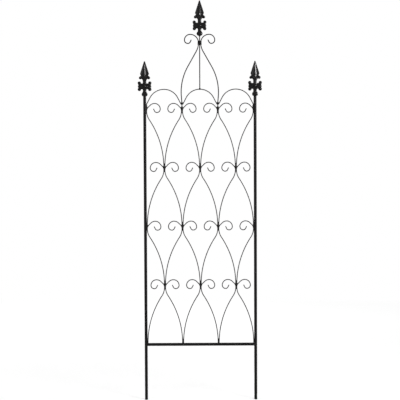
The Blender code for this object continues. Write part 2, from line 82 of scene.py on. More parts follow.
class Value:
    # a socket of a node tree; sums and products of sockets add Math nodes
    def __init__(self, tree, socket=None):
        self.tree = tree
        self.socket = socket

    def node(self, kind, settings=None, inputs=None, output=0):
        made = self.tree.nodes.new(kind)
        for key, setting in (settings or {}).items():
            setattr(made, key, setting)
        for key, value in (inputs or {}).items():
            if isinstance(value, Value):
                self.tree.links.new(value.socket, made.inputs[key])
            else:
                made.inputs[key].default_value = value
        return Value(self.tree, made.outputs[output])

    def end(self, kind):
        # this shader goes to the tree's output
        self.tree.links.new(self.socket, self.tree.nodes.new(kind).inputs["Surface"])

    def maths(self, operation, first, second):
        return self.node("ShaderNodeMath", {"operation": operation}, {0: first, 1: second})

    def __add__(self, other):
        return self.maths("ADD", self, other)

    def __radd__(self, other):
        return self.maths("ADD", other, self)

    def __mul__(self, other):
        return self.maths("MULTIPLY", self, other)

    def __rmul__(self, other):
        return self.maths("MULTIPLY", other, self)

    def ramp(self, low, high):
        # 0 at low, 1 at high, smooth between
        return self.node("ShaderNodeMapRange", {"interpolation_type": "SMOOTHSTEP"},
                         {"Value": self, "From Min": low, "From Max": high})

    def noise(self, scale, detail, roughness):
        return self.node("ShaderNodeTexNoise", None,
                         {"Vector": self, "Scale": scale, "Detail": detail, "Roughness": roughness})

    def between(self, first, second):
        # the first colour where this is 0, the second where it is 1
        return self.node("ShaderNodeMix", {"data_type": "RGBA"}, {"Factor": self, 6: first, 7: second}, 2)


def blankTree(owner):
    # an empty node tree on a material or a world
    owner.use_nodes = True
    owner.node_tree.nodes.clear()
    return Value(owner.node_tree)


def powderCoat(name, look):
    # satin black with orange peel, duller patches, a film of dust on top faces and worn edges
    material = bpy.data.materials.new(name)
    start = blankTree(material)
    place = start.node("ShaderNodeTexCoord", output="Object")
    normal = start.node("ShaderNodeNewGeometry", output="Normal")
    upward = start.node("ShaderNodeSeparateXYZ", None, {"Vector": normal}, "Z")
    pointed = start.node("ShaderNodeNewGeometry", output="Pointiness")
    peel = place.noise(*look["peelNoise"])
    ground = place.noise(*look["groundNoise"])
    patch = place.noise(*look["patchNoise"]).ramp(*look["patchFrom"])
    dust = upward.ramp(*look["dustSlope"]) * place.noise(*look["dustNoise"]).ramp(*look["dustFrom"])
    worn = pointed.ramp(*look["wornEdge"]) * ground.ramp(*look["wornGround"])
    colour = (patch * look["patchShare"]).between(look["colour"], look["dullColour"])
    colour = (dust * look["dustShare"]).between(colour, look["dustColour"])
    colour = (worn * look["wornShare"]).between(colour, look["wornColour"])
    roughness = (look["roughness"] + look["patchRough"] * patch
                 + look["dustRough"] * dust + look["wornRough"] * worn)
    height = peel * look["peelHeight"] + ground * look["groundHeight"]
    bump = start.node("ShaderNodeBump", None,
                      {"Strength": look["bump"], "Distance": look["bumpDepth"], "Height": height})
    shader = start.node("ShaderNodeBsdfPrincipled", None, {
        "Base Color": colour, "Roughness": roughness, "Normal": bump,
        "IOR": look["refraction"], "Specular IOR Level": look["specular"]})
    shader.end("ShaderNodeOutputMaterial")
    return material


# each noise has a scale, a detail and a roughness; each From is where its mask starts and is full
coat = {
    "colour": (0.0052, 0.0048, 0.0051, 1), "roughness": 0.42, "specular": 0.08, "refraction": 1.5,
    "dullColour": (0.0100, 0.0095, 0.0098, 1), "patchNoise": (42.0, 4.0, 0.6), "patchFrom": (0.35, 0.68),
    "patchShare": 0.65, "patchRough": 0.20,
    "dustColour": (0.034, 0.032, 0.029, 1), "dustNoise": (120.0, 5.0, 0.7), "dustFrom": (0.3, 0.75),
    "dustSlope": (0.25, 0.95), "dustShare": 0.30, "dustRough": 0.16,
    "wornColour": (0.036, 0.034, 0.034, 1), "wornEdge": (0.56, 0.62), "wornGround": (0.45, 0.62),
    "wornShare": 0.35, "wornRough": 0.05,
    "peelNoise": (620.0, 2.0, 0.5), "peelHeight": 0.5,
    "groundNoise": (1500.0, 6.0, 0.65), "groundHeight": 0.2, "bump": 0.5, "bumpDepth": 0.0006,
}
materials = {
    "tube": powderCoat("tubeCoat", coat),
    "wire": powderCoat("wireCoat", {**coat, "peelNoise": (900.0, 2.0, 0.5)}),
    "weld": powderCoat("weldCoat", {**coat, "roughness": 0.40, "groundHeight": 0.6, "specular": 0.15}),
    "casting": powderCoat("castCoat", {
        **coat, "roughness": 0.22, "patchRough": 0.05, "patchShare": 0.3, "dustShare": 0.12,
        "groundNoise": (900.0, 6.0, 0.65), "groundHeight": 0.3, "bump": 0.08, "specular": 0.12}),
    "plug": powderCoat("plugPlastic", {
        **coat, "colour": (0.008, 0.008, 0.008, 1), "roughness": 0.55,
        "groundNoise": (2200.0, 6.0, 0.65), "groundHeight": 0.7, "wornShare": 0.0}),
}
print("materials made")


def loft(rings, closed=False):
    # skins neighbouring rings; a ring of one point is a pole, other open ends are filled
    points = [point for ring in rings for point in ring]
    starts = [0]
    for ring in rings:
        starts.append(starts[-1] + len(ring))
    faces = []
    for i in range(len(rings) if closed else len(rings) - 1):
        j = (i + 1) % len(rings)
        a, b = starts[i], starts[j]
        sides = max(len(rings[i]), len(rings[j]))
        for k in range(sides):
            m = (k + 1) % sides
            if len(rings[i]) == 1:
                faces.append((a, b + m, b + k))
            elif len(rings[j]) == 1:
                faces.append((a + k, a + m, b))
            else:
                faces.append((a + k, a + m, b + m, b + k))
    if not closed:
        if len(rings[0]) > 1:
            faces.append(tuple(range(starts[1] - 1, -1, -1)))
        if len(rings[-1]) > 1:
            faces.append(tuple(range(starts[-2], starts[-1])))
    return points, faces


def loftDown(rings, closed=False):
    # for level rings that run downward, whose faces would look inward
    points, faces = loft(rings, closed)
    return points, [face[::-1] for face in faces]


def joined(shapes):
    points, faces = [], []
    for more, sides in shapes:
        faces += [tuple(i + len(points) for i in side) for side in sides]
        points += more
    return points, faces


def meshOf(name, shape, at=(0, 0, 0), sharpAngle=38):
    mesh = bpy.data.meshes.new(name)
    mesh.from_pydata([tuple(Vector(p) + Vector(at)) for p in shape[0]], [], shape[1])
    mesh.validate()
    mesh.shade_smooth()
    mesh.set_sharp_from_angle(angle=math.radians(sharpAngle))
    return mesh


def piece(name, node, slot, mesh):
    # a piece of the panel: its finish, what it rides on and the node that it stands for
    mesh.materials.append(materials[slot])
    thing = bpy.data.objects.new(name, mesh)
    bpy.context.scene.collection.objects.link(thing)
    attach(thing, "root")
    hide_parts(node)


def circle(radius, height, sides, depth, shape):
    # a level ring about Z, flattened by depth, its radius shaped by angle; a radius of 0 gives a pole
    if radius < 1e-7:
        return [Vector((0, 0, height))]
    ring = []
    for k in range(sides):
        angle = math.tau * k / sides
        r = radius * (shape(angle) if shape else 1.0)
        ring.append(Vector((r * math.cos(angle), r * math.sin(angle) * depth, height)))
    return ring


def turned(profile, sides=32, depth=1.0, shape=None, closed=False):
    # turns an outline about Z; it runs down the outside
    return loftDown([circle(r, h, sides, depth, shape) for r, h in profile], closed)


def smoothProfile(knots, steps):
    # a rounder outline through (radius, height) knots
    out = []
    for i in range(len(knots) - 1):
        around = knots[max(i - 1, 0)], knots[i], knots[i + 1], knots[min(i + 2, len(knots) - 1)]
        for k in range(steps):
            t = k / steps
            out.append(tuple(0.5 * (2 * p1 + (p2 - p0) * t + (2 * p0 - 5 * p1 + 4 * p2 - p3) * t * t
                                    + (3 * p1 - p0 - 3 * p2 + p3) * t ** 3)
                             for p0, p1, p2, p3 in zip(*around)))
    out.append(knots[-1])
    return [(max(r, 0.0), h) for r, h in out]


# bars: steps along runs and bends in metres and degrees, and sheared ends with a broken edge
bar = {
    "sides": 14, "longestStep": 0.007, "widestTurn": 3.0,
    "ends": ((0.0, 0.72), (0.00022, 0.9), (0.0006, 1.0)),
}


def bendPath(start, heading, moves):
    # (length, 0) is a straight run, (radius, turn) a bend to the left where the turn is positive
    points = [Vector(start)]
    angle = math.radians(heading)
    for size, turn in moves:
        if not turn:
            count = max(1, math.ceil(size / bar["longestStep"]))
            run = Vector((math.cos(angle), math.sin(angle))) * size / count
            for _ in range(count):
                points.append(points[-1] + run)
            continue
        side = math.copysign(1, turn)
        length = size * math.radians(abs(turn))
        count = max(math.ceil(abs(turn) / bar["widestTurn"]), math.ceil(length / bar["longestStep"]))
        centre = points[-1] + side * size * Vector((-math.sin(angle), math.cos(angle)))
        for _ in range(count):
            angle += math.radians(turn) / count
            points.append(centre + side * size * Vector((math.sin(angle), -math.cos(angle))))
    return points


def fairBend(across, along, run):
    # the radii and the turn of an S that goes across and along, with a straight run between its bends
    turn = 2 * math.atan(across / (along + run))
    return (along - run * math.cos(turn)) / math.sin(turn), math.degrees(turn)


def flipped(points, side):
    return [Vector((side * p.x, p.y)) for p in points]


def roundBar(points, radius, shares=None, depth=1.0, sides=bar["sides"], ends=bar["ends"]):
    # a bar along points of the panel's plane, its radius in shares along it, its ends drawn in
    shares = shares or [1.0] * len(points)
    first = (points[1] - points[0]).normalized()
    last = (points[-1] - points[-2]).normalized()
    path = [(points[0] + first * inset, first, share * shares[0]) for inset, share in ends]
    for before, point, after, share in zip(points, points[1:], points[2:], shares[1:]):
        tangent = ((point - before).normalized() + (after - point).normalized()).normalized()
        path.append((point, tangent, share))
    path += [(points[-1] - last * inset, last, share * shares[-1]) for inset, share in reversed(ends)]
    turns = [math.tau * k / sides for k in range(sides)]
    rings = []
    for point, tangent, share in path:
        across, through = Vector((tangent.y, 0, -tangent.x)), Vector((0, 1, 0))
        rings.append([Vector((point.x, 0, point.y)) + across * radius * share * math.cos(turn)
                      + through * radius * share * depth * math.sin(turn) for turn in turns])
    return loft(rings)


def wirePiece(node, points, at, coatThickness=panel["latticeCoat"]):
    name = node + "_wire"
    piece(name, node, "wire", meshOf(name, roundBar(points, wireR + coatThickness), at))


def curlMoves():
    return [(scroll["curlBend"], -90), (scroll["innerBend"], -90),
            (scroll["eyeBend"], -scroll["eyeTurn"]), (scroll["eyeRun"], 0)]


def scrollPath():
    # from the foot up the ogee leg, over the stem's root and shoulder and round the curl
    radii, turn = fairBend(halfBay - 2 * pairOffset, legDrop, 0)
    moves = [(radii - scroll["neckBend"], turn), (scroll["neckBend"], -turn),
             (scroll["rootBend"], -scroll["rootTurn"]), (scroll["rootRun"], 0),
             (scroll["shoulderBend"], scroll["rootTurn"] - 90), *curlMoves()]
    return bendPath((halfBay - pairOffset, -legDrop), 90, moves)


def lineX(line):
    return -postFace + line * halfBay


def rowHeight(row):
    return firstRow - (row - 1) * panel["rowPitch"]


def rowLines(row):
    # odd rows have their nodes on even lines, the posts' lines too
    return range((row + 1) % 2, lastLine + 1, 2)


scrollPoints = scrollPath()
for row in range(1, panel["rows"] + 1):
    hands = [(line, side) for line in rowLines(row) for side in (-1, 1) if 0 <= line + side <= lastLine]
    for count, (line, side) in enumerate(hands, 1):
        wirePiece(f"scroll_r{row}_{count}", flipped(scrollPoints, side), (lineX(line), 0, rowHeight(row)))

archHalf = halfBay - archOffset
archRadius, archTurn = fairBend(arch["rise"], archHalf, arch["run"])
archMoves = [(arch["run"], 0), (archRadius, -2 * archTurn), (arch["run"], 0)]


def outerHalf(points, side):
    # beside a post the half arch is wider, and its foot runs down the post
    reach = halfBay - wireR - gapFit
    wide = [Vector((p.x * reach / archHalf, p.y)) if side * p.x > 0 else p for p in points]
    foot = Vector((side * reach, -arch["footRun"]))
    return [foot] + wide if side < 0 else wide + [foot]


for bay in range(panel["bays"]):
    path = bendPath((-archHalf, 0), archTurn, archMoves)
    if bay == 0:
        path = outerHalf(path, -1)
    if bay == panel["bays"] - 1:
        path = outerHalf(path, 1)
    wirePiece(f"arch_{bay + 1}", path, (lineX(2 * bay + 1), 0, archFoot))


def crownPath():
    # up beside the arches, leaning out, then over the ogee's belly and neck to the collar and the curl
    lean = math.radians(crown["lean"])
    foot = arch["lift"] - tipLift
    bends = crown["leanBend"] + crown["bellyBend"]
    out = bends * (1 - math.cos(lean)) + crown["leanRun"] * math.sin(lean)
    up = foot + bends * math.sin(lean) + crown["leanRun"] * math.cos(lean)
    radii, turn = fairBend(halfBay + out - crownOffset, crown["rise"] - up, crown["ogeeRun"])
    moves = [(foot, 0), (crown["leanBend"], -crown["lean"]), (crown["leanRun"], 0),
             (crown["bellyBend"], crown["lean"]), (radii - crown["ogeeNeckBend"], turn),
             (crown["ogeeRun"], 0), (crown["ogeeNeckBend"], -turn), (crown["rootBend"], -90), *curlMoves()]
    return bendPath((halfBay, 0), 90, moves)


for side, name in ((-1, "left"), (1, "right")):
    wirePiece(name + "_crown_scroll", flipped(crownPath(), side), (0, 0, crownFoot), panel["crownCoat"])
rodFoot = archFoot + arch["rise"] + wireR + gapFit
rodTop = centreSeat + crown["socketDepth"] - gapFit
wirePiece("centre_rod", bendPath((0, 0), 90, [(rodTop - rodFoot, 0)]), (0, 0, rodFoot), panel["crownCoat"])
print("wires bent")

# tubes with rolled edges, and the plugs in their feet; the turns are angles round a plug's rim, in radians
tube = {"sides": 48, "edge": 0.0003}
plug = {
    "flange": 0.0018, "stem": 0.014, "edge": 0.0006, "shoulder": 0.3,
    "upperTurns": (0.5, 0.0), "lowerTurns": (0.0, 0.4, 0.8, 1.2, math.pi / 2),
    "mark": ((0.0018, 0.0), (0.0014, 0.0005), (0, 0.0006)),  # left by the mould, under the foot
}


def tubeShape(bottom, top):
    r, e = tubeR + panel["tubeCoat"], tube["edge"]
    outside = [(r - e, top), (r, top - e), (r, bottom + e), (r - e, bottom)]
    inside = [(boreR + e, bottom), (boreR, bottom + e), (boreR, top - e), (boreR + e, top)]
    return turned(outside + inside, tube["sides"], closed=True)


def plugShape():
    # a stem in the bore and a flange with a rounded rim under the tube's end
    r, flange, e = boreR - gapFit, plug["flange"], plug["edge"]
    top = flange + plug["stem"]
    upper = [(tubeR - e * (1 - math.cos(a)), flange - e * (1 - math.sin(a))) for a in plug["upperTurns"]]
    lower = [(tubeR - e + e * math.cos(a), e - e * math.sin(a)) for a in plug["lowerTurns"]]
    stem = [(0, top), (r - e, top), (r, top - e), (r, flange), (tubeR - e * plug["shoulder"], flange)]
    return turned([*stem, *upper, *lower, *plug["mark"]], tube["sides"])


for side, name in ((-1, "left"), (1, "right")):
    at = (side * postX, 0, 0)
    tubeName, plugName = name + "_post_tube", name + "_plug"
    shape = tubeShape(plug["flange"] + gapFit, postTop)
    piece(tubeName, name + "_post", "tube", meshOf(tubeName, shape, at))
    piece(plugName, name + "_foot_plug", "plug", meshOf(plugName, plugShape(), at))

railRings = (-1, -0.97, 0, 0.97, 1)  # where they stand, from the left post at -1 to the right one at 1


def railRing(radius, share):
    # the rail's ends follow the posts' round
    ring = []
    for k in range(tube["sides"]):
        angle = math.tau * k / tube["sides"]
        y, z = radius * math.cos(angle), radius * math.sin(angle)
        notch = math.sqrt(max((tubeR + gapFit) ** 2 - y * y, 0.0))
        ring.append(Vector((share * (postX - notch), y, panel["railHeight"] + z)))
    return ring


outside = [railRing(tubeR + panel["tubeCoat"], share) for share in railRings]
inside = [railRing(boreR, share) for share in reversed(railRings)]
shape = loft(outside + inside, closed=True)
piece("bottom_rail_tube", "bottom_rail", "tube", meshOf("bottom_rail_tube", shape))
print("tubes made")

# weld beads: rippled, uneven skins round the wires
bead = {
    "sides": 28, "step": 0.0005, "knotSteps": 5, "ease": 0.0012, "blunt": 4, "depth": 0.75,
    "ripplePitch": 0.0021, "rippleHeight": 0.00034, "rippleCurve": 0.0011, "ripplePower": 0.6,
    "rippleMean": 0.6, "fadeRadius": 0.003, "lump": 0.00045, "lumpScale": 170.0, "fine": 0.00012,
    "fineScale": 900.0,
    # of a node's bead; the first row's beads have fuller tops, and lower ones where the crown stands
    "radius": 0.0059, "rise": 0.0180, "foot": 0.0100, "firstRise": 0.0085, "firstTop": 0.85,
    # its outline in shares: of the rise above the crotch, of the crotch's height, of the foot below
    "slim": 0.25, "topAt": 0.7, "fullFrom": 0.15, "fullTo": 0.85, "waist": (1.1, 0.45),
    "below": ((1.0, 0.6), (0.6, 0.88), (0, 1.0)),
    # the upper half of an oval bead, in shares of its radius and half height
    "oval": ((0, 1.0), (0.62, 0.8), (1.0, 0.25)),
}
archBead = {"radius": 0.0062, "halfHeight": 0.0072, "lift": 0.0035}
rodBead = {"radius": 0.0043, "halfHeight": 0.0050}
# neck and base are shares of the height, and of how far the wires stand apart or of the radius
landing = {
    "radius": 0.0046, "height": 0.0205, "drop": 0.001,
    "neck": ((0, 1.0), (0.5, 0.95), (1.0, 0.7)), "base": ((0.75, 0.25), (1.0, 0)),
}


def radiusAt(profile, height):
    # profile runs from the top down
    for (r1, h1), (r2, h2) in zip(profile, profile[1:]):
        if h2 <= height <= h1:
            return r1 + (r2 - r1) * (h1 - height) / max(h1 - h2, 1e-9)
    return 0.0


def beadShape(profile, where, depth=bead["depth"]):
    # the bead's place on the panel makes its lumps its own
    profile = smoothProfile(profile, bead["knotSteps"])
    top, bottom = profile[0][1], profile[-1][1]
    count = int((top - bottom) / bead["step"])
    shifts = [bead["ease"] * t for t in (-1, -0.5, 0, 0.5, 1)]
    rings = [[Vector((0, 0, top))]]
    for i in range(1, count):
        height = top - (top - bottom) * i / count
        base = sum(radiusAt(profile, height + shift) for shift in shifts) / len(shifts)
        base = min(base, math.sqrt(min(top - height, height - bottom) * bead["blunt"] * bead["radius"]))
        fade = min(1, base / bead["fadeRadius"])
        ring = []
        for k in range(bead["sides"]):
            angle = math.tau * k / bead["sides"]
            x, y = math.cos(angle), math.sin(angle)
            wave = math.sin(math.pi * (height + bead["rippleCurve"] * x * x) / bead["ripplePitch"])
            spot = Vector((base * x, base * y, height)) + Vector(where)
            r = base + bead["rippleHeight"] * (abs(wave) ** bead["ripplePower"] - bead["rippleMean"]) * fade
            r += bead["lump"] * noise.noise(spot * bead["lumpScale"])
            r += bead["fine"] * noise.noise(spot * bead["fineScale"])
            ring.append(Vector((r * x, r * y * depth, height)))
        rings.append(ring)
    rings.append([Vector((0, 0, bottom))])
    return loftDown(rings)


def nodeProfile(rise, topRadius):
    # full where the scrolls' roots meet, slim between the wires below
    r, slim, (waist, waistAt) = bead["radius"], pairOffset + bead["slim"] * wireR, bead["waist"]
    below = [(share * slim, -at * bead["foot"]) for share, at in bead["below"]]
    return [(0, tipLift + rise), (topRadius or slim, tipLift + bead["topAt"] * rise),
            (r, tipLift + bead["fullFrom"] * rise), (r, bead["fullTo"] * tipLift),
            (waist * slim, waistAt * tipLift), *below]


def ovalProfile(radius, halfHeight):
    upper = [(share * radius, at * halfHeight) for share, at in bead["oval"]]
    return upper + [(r, -h) for r, h in reversed(upper)]


def landingProfile():
    # over the rail, between the feet of two wires
    r, height, stand = landing["radius"], landing["height"], panel["legStand"]
    neck = [(share * pairOffset, at * height) for share, at in landing["neck"]]
    base = [(share * r, at * height) for share, at in landing["base"]]
    return [*neck, *base, (r, -stand), (0, -stand - landing["drop"])]


def beadPiece(node, profile, at, depth=bead["depth"]):
    name = node + "_bead"
    piece(name, node, "weld", meshOf(name, beadShape(profile, at, depth), at))


for row in range(1, panel["rows"] + 1):
    for count, line in enumerate(rowLines(row), 1):
        profile = nodeProfile(bead["rise"], 0)
        if row == 1:
            atPost = line in (0, lastLine)
            topRadius = bead["firstTop"] * bead["radius"]
            profile = nodeProfile(bead["rise"] if atPost else bead["firstRise"], topRadius)
        beadPiece(f"weld_r{row}_{count}", profile, (lineX(line), 0, rowHeight(row)))
for line, name in ((panel["bays"] - 1, "left"), (panel["bays"] + 1, "right")):
    profile = ovalProfile(archBead["radius"], archBead["halfHeight"])
    beadPiece(name + "_arch_weld", profile, (lineX(line), 0, archFoot + archBead["lift"]))
for count, line in enumerate(range(2, lastLine, 2), 1):
    beadPiece(f"landing_weld_{count}", landingProfile(), (lineX(line), 0, railTop))
beadPiece("rod_weld", ovalProfile(rodBead["radius"], rodBead["halfHeight"]), (0, 0, rodFoot - gapFit), 1.0)

# the bead round a rail's end; foot is the outline of its upper part, beside the wire's foot
corner = {
    "radius": 0.0020, "sides": 14, "steps": 168, "ripples": 21, "rippleShare": 0.26, "rippleMean": 0.5,
    "lumpShare": 0.16, "lumpScale": 260, "lean": 0.55, "flat": 0.8, "sink": 0.0006,
    "foot": ((0, 0.012), (0.0030, 0.006), (0.0042, 0.0), (0.0040, -0.002), (0, -0.003)),
}


def cornerShape(side):
    rings = []
    for k in range(corner["steps"]):
        # round the saddle where the rail meets the post
        angle = math.tau * k / corner["steps"]
        y, z = tubeR * math.cos(angle), tubeR * math.sin(angle)
        spot = Vector((side * (postX - abs(z)), y, panel["railHeight"] + z))
        outward = Vector((-side * corner["lean"], math.cos(angle), math.sin(angle))).normalized()
        along = Vector((0, -math.sin(angle), math.cos(angle)))
        across = along.cross(outward).normalized()
        ripple = abs(math.sin(corner["ripples"] * angle / 2)) ** bead["ripplePower"] - corner["rippleMean"]
        lump = noise.noise(spot * corner["lumpScale"])
        size = corner["radius"] * (1 + corner["rippleShare"] * ripple + corner["lumpShare"] * lump)
        turns = [math.tau * j / corner["sides"] for j in range(corner["sides"])]
        rings.append([spot + outward * size * math.cos(turn) * corner["flat"]
                      + across * size * math.sin(turn) for turn in turns])
    points, faces = beadShape(corner["foot"], (side * postFace, 0, railTop))
    shift = Vector((side * (postFace - corner["sink"]), 0, railTop))
    return joined([loft(rings, closed=True), ([p + shift for p in points], faces)])


for side, name in ((-1, "left"), (1, "right")):
    mesh = meshOf(name + "_corner_bead", cornerShape(side))
    piece(name + "_corner_bead", name + "_corner_weld", "weld", mesh)
print("welds laid")

# collar: a flat band formed round the crown's wires
collar = {
    "length": 0.018, "coat": 0.0006, "wall": 0.0008, "depth": 0.0084, "edge": 0.0011, "corner": 0.0030,
    "cornerSteps": 6, "seam": 0.0004, "dish": (0.0007, 0.0002), "bevel": 0.3,
}
swing = crown["rootBend"] - math.sqrt(crown["rootBend"] ** 2 - (collar["length"] / 2) ** 2)
collarWidth = 2 * (crownOffset + wireR + swing + collar["wall"] + collar["coat"])


def bandRing(inset, height):
    # a level rounded rectangle, with the joint of the band as a groove at the back
    halfX, halfY, r = collarWidth / 2 - inset, collar["depth"] / 2 - inset, collar["corner"] - inset
    ring = []
    for quarter, (sideX, sideY) in enumerate(((1, 1), (-1, 1), (-1, -1), (1, -1))):
        for k in range(collar["cornerSteps"] + 1):
            angle = math.radians(90 * quarter + 90 * k / collar["cornerSteps"])
            ring.append(Vector((sideX * (halfX - r) + r * math.cos(angle),
                                sideY * (halfY - r) + r * math.sin(angle), height)))
        if quarter == 0:
            seam = collar["seam"]
            ring += [Vector((x, halfY - dip, height)) for x, dip in ((seam, 0), (0, seam), (-seam, 0))]
    return ring


def bandShape():
    # its ends are eased and slightly dished
    half, e, (dishRun, dishDepth) = collar["length"] / 2 + collar["coat"], collar["edge"], collar["dish"]
    bevel = collar["bevel"] * e
    rim = [(e + dishRun, half - dishDepth), (e, half), (bevel, half - bevel), (0, half - e)]
    lower = [bandRing(inset, -height) for inset, height in rim]
    return loft(lower + [bandRing(inset, height) for inset, height in reversed(rim)])


piece("crown_collar_band", "crown_collar", "casting",
      meshOf("crown_collar_band", bandShape(), (0, 0, collarHeight)))

# cast spear finials: solids fused at a fine grid, then smoothed as a casting is
spear = {
    "tip": 0.1605, "overshoot": 0.0004, "depth": 0.545, "leastDepth": 0.0011, "edge": 0.0010,
    "edgeShare": 0.45, "leastCore": 0.0003, "headSteps": 6, "faceSteps": 10,
    "ridgeSteps": (0.0, 0.4, 0.8), "ridgeAngle": 0.03,
    # half width, height and hollowness of the head, from the tip down to the neck
    "head": ((0.0024, 0.1594, 0.95), (0.0062, 0.1478, 0.76), (0.0203, 0.1042, 0.66), (0.0200, 0.1012, 0.70),
             (0.0174, 0.0962, 0.85), (0.0174, 0.0890, 0.95), (0.0156, 0.0810, 1.2), (0.0100, 0.0765, 1.6)),
    # half width and height of the neck, from the head down to the bulb
    "neck": ((0, 0.0826), (0.010625, 0.0786), (0.0085, 0.0725), (0.00833, 0.0640), (0.0102, 0.0545),
             (0.0108, 0.0455), (0.0100, 0.0370), (0.00816, 0.0268), (0.0085, 0.0215), (0.00935, 0.0180),
             (0, 0.0150)),
    "neckDepth": 0.80, "neckSides": 40, "knotSteps": 6,
    # the bulb's outline in shares of its radius and half height
    "bulb": ((0, 2.02), (0.64, 2), (0.86, 1.62), (1, 1.15), (0.99, 0.85), (0.85, 0.3)),
    "bulbRadius": 0.0137, "bulbHalf": 0.0099, "bulbDepth": 0.81, "bulbSides": 96, "seatRadius": 0.0060,
    "flutes": 6, "fluteDepth": 0.16, "flutePower": 3,
    # out from the middle, height and radius of the curls' eyes
    "horn": (0.0240, 0.0614, 0.0077), "lobe": (0.0236, 0.0326, 0.0081), "barb": (0.0190, 0.0847, 0.0069),
    "cross": 0.0455, "waistX": 0.0241, "waistRadius": 0.0068, "waistDepth": 0.80,
    "boss": 0.0070, "bossY": 0.0042, "ballBands": 14, "ballSides": 28,
    # a limb from the cross to a curl, as distance out and share of the rise, and its thickness along it
    "limbKnots": ((0.002, 0.10), (0.009, 0.27), (0.0140, 0.36), (0.0190, 0.43)), "limbTurn": (0.94, 0.62),
    "limb": 0.0087, "limbShares": (1.15, 1.08, 1.0, 0.95, 0.86, 0.76), "limbDepth": 0.74, "limbSides": 24,
    "barbKnots": ((0.0060, 0.0900), (0.0125, 0.0893), (0.0168, 0.0868), (0.0188, 0.0852), (0.0190, 0.0845)),
    "barbShares": (1.0, 0.98, 0.95, 0.95, 0.9), "barbDepth": 0.95, "barbSides": 20,
    "limbEnds": ((0.0, 0.6), (0.0005, 0.9), (0.001, 1.0)),
    "grid": 0.00042, "easeFactor": 0.5, "easeTimes": 6, "kept": 0.3, "tipPower": 6,
    "skin": 0.00006, "skinScale": 420, "reach": (0.0317, 0.0112),  # it goes no farther out in X and Y
}
# lines cut in the casting: rings in the curls and round the boss, and lines down the limbs
carve = {
    "depth": 0.0014, "ringWidth": 0.00072, "lineWidth": 0.0006, "bossRing": 0.0078, "curlRing": 0.56,
    "curlClear": 0.62, "lineStart": 0.009, "lineOffset": 0.0029, "lineShare": 0.8,
    "below": 0.010, "above": 0.008, "facing": 0.3, "facingGain": 1.4,
}


def ridgedRing(halfWidth, halfDepth, power, edge, height):
    # four ridges, with hollow faces between them where power is under 1; edge rounds the ridges
    w, d = (max(half - edge, spear["leastCore"]) for half in (halfWidth, halfDepth))

    def side(angle):
        # a point of the core, and the way that it faces
        c, s = math.cos(angle), math.sin(angle)
        size = (c ** power + s ** power) ** (-1 / power)
        x, y = c * size, s * size
        return Vector((x * w, y * d)), Vector((x ** (power - 1) / w, y ** (power - 1) / d)).normalized()

    lean = math.atan2(*side(spear["ridgeAngle"])[1].yx)
    quarter = [Vector((w, 0)) + edge * Vector((math.cos(lean * t), math.sin(lean * t)))
               for t in spear["ridgeSteps"]]
    for k in range(1, spear["faceSteps"]):
        point, normal = side(math.pi / 2 * k / spear["faceSteps"])
        quarter.append(point + edge * normal)
    lean = math.atan2(*side(math.pi / 2 - spear["ridgeAngle"])[1])
    quarter += [Vector((0, d)) + edge * Vector((math.sin(lean * t), math.cos(lean * t)))
                for t in reversed(spear["ridgeSteps"][1:])]
    ring = quarter + [Vector((0, d + edge))] + [Vector((-p.x, p.y)) for p in reversed(quarter[1:])]
    ring += [Vector((-w - edge, 0))] + [Vector((-p.x, -p.y)) for p in quarter[1:]]
    ring += [Vector((0, -d - edge))] + [Vector((p.x, -p.y)) for p in reversed(quarter[1:])]
    return [Vector((p.x, p.y, height)) for p in ring]


def spearHead():
    knots = spear["head"]
    rings = [[Vector((0, 0, spear["tip"] + spear["overshoot"]))]]
    for (a, h, p), (b, g, q) in zip(knots, knots[1:]):
        for k in range(spear["headSteps"]):
            t = k / spear["headSteps"]
            half = a + (b - a) * t
            depth = max(half * spear["depth"], spear["leastDepth"])
            edge = min(spear["edge"], spear["edgeShare"] * half)
            rings.append(ridgedRing(half, depth, p + (q - p) * t, edge, h + (g - h) * t))
    half, h, p = knots[-1]
    rings.append(ridgedRing(half, half * spear["depth"], p, spear["edge"], h))
    return loftDown(rings)


def ball(centre, radius, depth):
    turns = [math.pi * k / spear["ballBands"] for k in range(spear["ballBands"] + 1)]
    outline = [(radius * math.sin(t), radius * math.cos(t)) for t in turns]
    points, faces = turned(outline, spear["ballSides"], depth)
    return [p + Vector(centre) for p in points], faces


def limbPath(side, x, z):
    # from the middle of the cross out and round to a curl
    rise = z - spear["cross"]
    out, up = spear["limbTurn"]
    knots = [*spear["limbKnots"], (out * x, up), (x, 1.0)]
    return [Vector((side * a, spear["cross"] + b * rise)) for a, b in knots]


